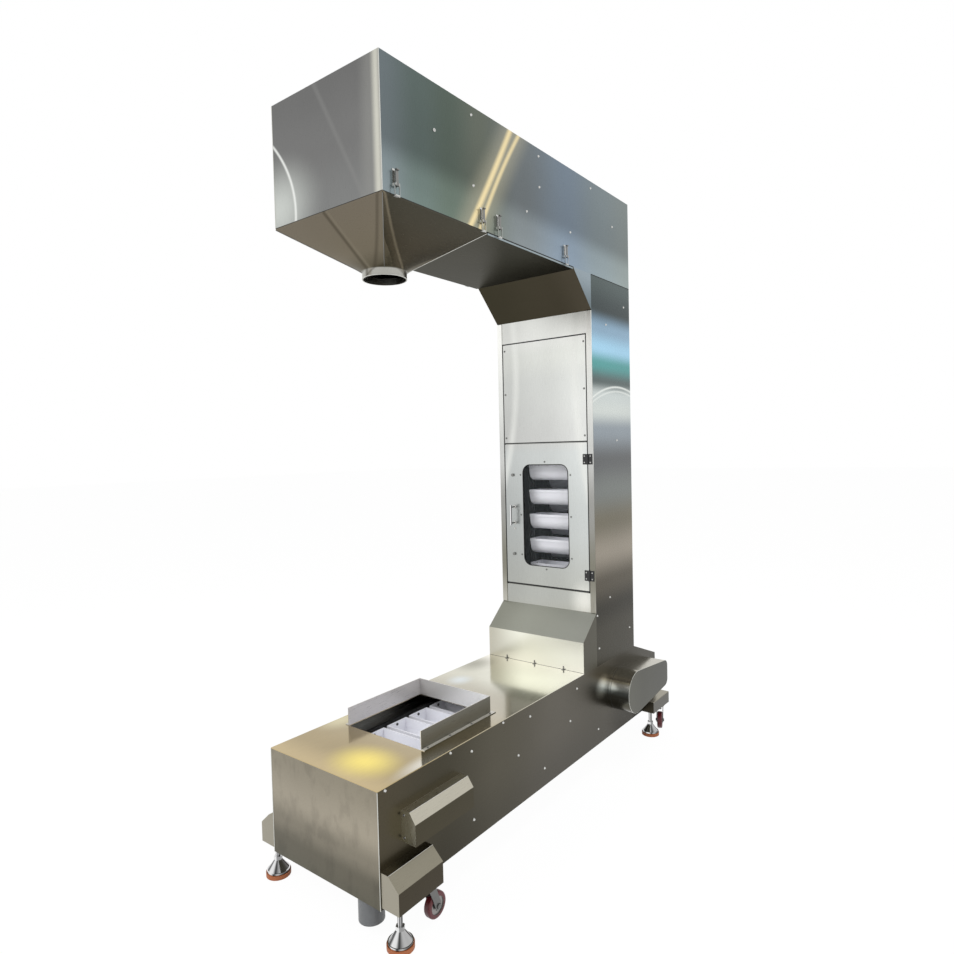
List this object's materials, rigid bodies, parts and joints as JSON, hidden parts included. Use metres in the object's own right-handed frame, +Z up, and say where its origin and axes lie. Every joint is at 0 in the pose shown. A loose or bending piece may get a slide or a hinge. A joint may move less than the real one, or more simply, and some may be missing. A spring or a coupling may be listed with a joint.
{
  "type": "bucket elevator",
  "caption": "C-shaped stainless bucket elevator: floor-level inlet, enclosed upright with a window door, and an overhead head with a round discharge spout.",
  "frame": {"origin": "middle of the footprint, on the floor", "axes": "+Z up, -Y towards the feed and discharge ends, +X towards the side with the drive guard"},
  "size_m": [0.684, 1.958, 2.566],
  "materials": {
    "stainless_sheet": "brushed stainless sheet, satin",
    "polished_steel": "polished stainless",
    "window_pane": "clear polycarbonate pane",
    "black_hinge": "black satin hinge",
    "chain_steel": "dark oiled chain steel",
    "white_bucket": "white moulded polypropylene",
    "chromed_foot": "chromed steel with an orange rubber ring",
    "caster_tread": "maroon polyurethane tread on a silver hub",
    "zinc_fork": "bright zinc plate",
    "grey_tube": "grey plastic tube",
    "motor_paint": "grey-blue paint",
    "bearing_iron": "painted cast housing",
    "rail_steel": "bent stainless sheet",
    "machined_steel": "turned steel"
  },
  "bodies": {
    "casing": {"base_casing": "stainless_sheet", "base_lid": "stainless_sheet", "bearings": "bearing_iron", "bucket_chains": "chain_steel", "carrier_buckets": "white_bucket", "casing_screws": "polished_steel", "caster_plates": "zinc_fork", "chain_rails": "rail_steel", "column_casing": "stainless_sheet", "column_cover": "stainless_sheet", "discharge_hopper": "stainless_sheet", "drain_tube": "grey_tube", "drive_chain": "chain_steel", "drive_guard": "stainless_sheet", "gearmotor": "motor_paint", "head_casing": "stainless_sheet", "head_pan": "stainless_sheet", "hinge_leaves_column": "black_hinge", "inlet_frame": "stainless_sheet", "knee_casing": "stainless_sheet", "latch_bases": "polished_steel", "outriggers": "stainless_sheet", "takeup_covers": "stainless_sheet", "transition_casing": "stainless_sheet"},
    "door": {"access_door": "stainless_sheet", "door_window": "window_pane", "door_handle": "polished_steel", "hinge_leaves_door": "black_hinge"},
    "catch_lower": {"door_catch_lower": "polished_steel"},
    "catch_upper": {"door_catch_upper": "polished_steel"},
    "hopper_levers_right": {"hopper_latches_right": "polished_steel"},
    "hopper_levers_left": {"hopper_latches_left": "polished_steel"},
    "pan_levers_right": {"pan_latches_right": "polished_steel"},
    "pan_levers_left": {"pan_latches_left": "polished_steel"},
    "drive": {"drive_shaft": "machined_steel", "driven_sprocket": "machined_steel"},
    "motor": {"motor_sprocket": "machined_steel"},
    "tail": {"tail_shaft": "machined_steel"},
    "discharge": {"discharge_shaft": "machined_steel"},
    "top_corner": {"top_corner_shaft": "machined_steel"},
    "lower_knee": {"lower_knee_shaft": "machined_steel"},
    "upper_knee": {"upper_knee_shaft": "machined_steel"},
    "inlet_bucket_1": {"inlet_bucket_1": "white_bucket"},
    "inlet_bucket_2": {"inlet_bucket_2": "white_bucket"},
    "inlet_bucket_3": {"inlet_bucket_3": "white_bucket"},
    "window_bucket_1": {"window_bucket_1": "white_bucket"},
    "window_bucket_2": {"window_bucket_2": "white_bucket"},
    "window_bucket_3": {"window_bucket_3": "white_bucket"},
    "foot_front_right": {"levelling_foot_front_right": "chromed_foot"},
    "fork_front_right": {"caster_fork_front_right": "zinc_fork"},
    "wheel_front_right": {"caster_wheel_front_right": "caster_tread"},
    "foot_front_left": {"levelling_foot_front_left": "chromed_foot"},
    "fork_front_left": {"caster_fork_front_left": "zinc_fork"},
    "wheel_front_left": {"caster_wheel_front_left": "caster_tread"},
    "foot_rear_right": {"levelling_foot_rear_right": "chromed_foot"},
    "fork_rear_right": {"caster_fork_rear_right": "zinc_fork"},
    "wheel_rear_right": {"caster_wheel_rear_right": "caster_tread"},
    "foot_rear_left": {"levelling_foot_rear_left": "chromed_foot"},
    "fork_rear_left": {"caster_fork_rear_left": "zinc_fork"},
    "wheel_rear_left": {"caster_wheel_rear_left": "caster_tread"}
  },
  "joints": [
    {"name": "door_hinge", "type": "hinge", "parent": "casing", "child": "door", "pos_m": [0.209, 0.34545, 1.1155], "axis": [0, 0, 1], "range_deg": [0, 115]},
    {"name": "catch_lower_turn", "type": "hinge", "parent": "door", "child": "catch_lower", "pos_m": [-0.19, 0.3505, 0.927], "axis": [0, -1, 0], "range_deg": [0, 90]},
    {"name": "catch_upper_turn", "type": "hinge", "parent": "door", "child": "catch_upper", "pos_m": [-0.19, 0.3505, 1.302], "axis": [0, -1, 0], "range_deg": [0, 90]},
    {"name": "hopper_levers_right_lift", "type": "hinge", "parent": "casing", "child": "hopper_levers_right", "pos_m": [0.246, -0.6275, 2.197], "axis": [0, 1, 0], "range_deg": [0, 100]},
    {"name": "hopper_levers_left_lift", "type": "hinge", "parent": "casing", "child": "hopper_levers_left", "pos_m": [-0.272, -0.6275, 2.197], "axis": [0, -1, 0], "range_deg": [0, 100]},
    {"name": "pan_levers_right_lift", "type": "hinge", "parent": "casing", "child": "pan_levers_right", "pos_m": [0.246, -0.095, 2.197], "axis": [0, 1, 0], "range_deg": [0, 100]},
    {"name": "pan_levers_left_lift", "type": "hinge", "parent": "casing", "child": "pan_levers_left", "pos_m": [-0.272, -0.095, 2.197], "axis": [0, -1, 0], "range_deg": [0, 100]},
    {"name": "drive_spin", "type": "hinge", "parent": "casing", "child": "drive", "pos_m": [-0.013, 0.543, 0.31], "axis": [1, 0, 0], "continuous": true},
    {"name": "motor_spin", "type": "hinge", "parent": "casing", "child": "motor", "pos_m": [-0.013, 0.828, 0.31], "axis": [1, 0, 0], "continuous": true},
    {"name": "tail_spin", "type": "hinge", "parent": "casing", "child": "tail", "pos_m": [-0.013, -0.777, 0.31], "axis": [1, 0, 0], "continuous": true},
    {"name": "discharge_spin", "type": "hinge", "parent": "casing", "child": "discharge", "pos_m": [-0.013, -0.707, 2.38], "axis": [1, 0, 0], "continuous": true},
    {"name": "top_corner_spin", "type": "hinge", "parent": "casing", "child": "top_corner", "pos_m": [-0.013, 0.543, 2.38], "axis": [1, 0, 0], "continuous": true},
    {"name": "lower_knee_spin", "type": "hinge", "parent": "casing", "child": "lower_knee", "pos_m": [-0.013, 0.363, 0.51], "axis": [1, 0, 0], "continuous": true},
    {"name": "upper_knee_spin", "type": "hinge", "parent": "casing", "child": "upper_knee", "pos_m": [-0.013, 0.363, 2.18], "axis": [1, 0, 0], "continuous": true},
    {"name": "inlet_bucket_1_swing", "type": "hinge", "parent": "casing", "child": "inlet_bucket_1", "pos_m": [-0.013, -0.63261, 0.41], "axis": [1, 0, 0], "range_deg": [-12, 12]},
    {"name": "inlet_bucket_2_swing", "type": "hinge", "parent": "casing", "child": "inlet_bucket_2", "pos_m": [-0.013, -0.51622, 0.41], "axis": [1, 0, 0], "range_deg": [-12, 12]},
    {"name": "inlet_bucket_3_swing", "type": "hinge", "parent": "casing", "child": "inlet_bucket_3", "pos_m": [-0.013, -0.39983, 0.41], "axis": [1, 0, 0], "range_deg": [-12, 12]},
    {"name": "window_bucket_1_swing", "type": "hinge", "parent": "casing", "child": "window_bucket_1", "pos_m": [-0.013, 0.463, 0.98675], "axis": [1, 0, 0], "range_deg": [-12, 12]},
    {"name": "window_bucket_2_swing", "type": "hinge", "parent": "casing", "child": "window_bucket_2", "pos_m": [-0.013, 0.463, 1.10314], "axis": [1, 0, 0], "range_deg": [-12, 12]},
    {"name": "window_bucket_3_swing", "type": "hinge", "parent": "casing", "child": "window_bucket_3", "pos_m": [-0.013, 0.463, 1.21952], "axis": [1, 0, 0], "range_deg": [-12, 12]},
    {"name": "foot_front_right_screw", "type": "slide", "parent": "casing", "child": "foot_front_right", "axis": [0, 0, -1], "range_m": [0, 0.025]},
    {"name": "fork_front_right_swivel", "type": "hinge", "parent": "casing", "child": "fork_front_right", "pos_m": [0.275, -0.816, 0.11], "axis": [0, 0, 1], "continuous": true},
    {"name": "wheel_front_right_spin", "type": "hinge", "parent": "fork_front_right", "child": "wheel_front_right", "pos_m": [0.275, -0.788, 0.042], "axis": [1, 0, 0], "continuous": true},
    {"name": "foot_front_left_screw", "type": "slide", "parent": "casing", "child": "foot_front_left", "axis": [0, 0, -1], "range_m": [0, 0.025]},
    {"name": "fork_front_left_swivel", "type": "hinge", "parent": "casing", "child": "fork_front_left", "pos_m": [-0.301, -0.816, 0.11], "axis": [0, 0, 1], "continuous": true},
    {"name": "wheel_front_left_spin", "type": "hinge", "parent": "fork_front_left", "child": "wheel_front_left", "pos_m": [-0.301, -0.788, 0.042], "axis": [1, 0, 0], "continuous": true},
    {"name": "foot_rear_right_screw", "type": "slide", "parent": "casing", "child": "foot_rear_right", "axis": [0, 0, -1], "range_m": [0, 0.025]},
    {"name": "fork_rear_right_swivel", "type": "hinge", "parent": "casing", "child": "fork_rear_right", "pos_m": [0.275, 0.947, 0.11], "axis": [0, 0, 1], "continuous": true},
    {"name": "wheel_rear_right_spin", "type": "hinge", "parent": "fork_rear_right", "child": "wheel_rear_right", "pos_m": [0.28458, 0.92069, 0.042], "axis": [-0.9397, -0.342, 0], "continuous": true},
    {"name": "foot_rear_left_screw", "type": "slide", "parent": "casing", "child": "foot_rear_left", "axis": [0, 0, -1], "range_m": [0, 0.025]},
    {"name": "fork_rear_left_swivel", "type": "hinge", "parent": "casing", "child": "fork_rear_left", "pos_m": [-0.301, 0.947, 0.11], "axis": [0, 0, 1], "continuous": true},
    {"name": "wheel_rear_left_spin", "type": "hinge", "parent": "fork_rear_left", "child": "wheel_rear_left", "pos_m": [-0.31058, 0.92069, 0.042], "axis": [-0.9397, 0.342, 0], "continuous": true}
  ],
  "couplings": [
    {"joint": "motor_spin", "follows": "drive_spin", "ratio": 1.9231},
    {"joint": "tail_spin", "follows": "drive_spin", "ratio": 1},
    {"joint": "discharge_spin", "follows": "drive_spin", "ratio": 1},
    {"joint": "top_corner_spin", "follows": "drive_spin", "ratio": 1},
    {"joint": "lower_knee_spin", "follows": "drive_spin", "ratio": -1},
    {"joint": "upper_knee_spin", "follows": "drive_spin", "ratio": -1}
  ]
}
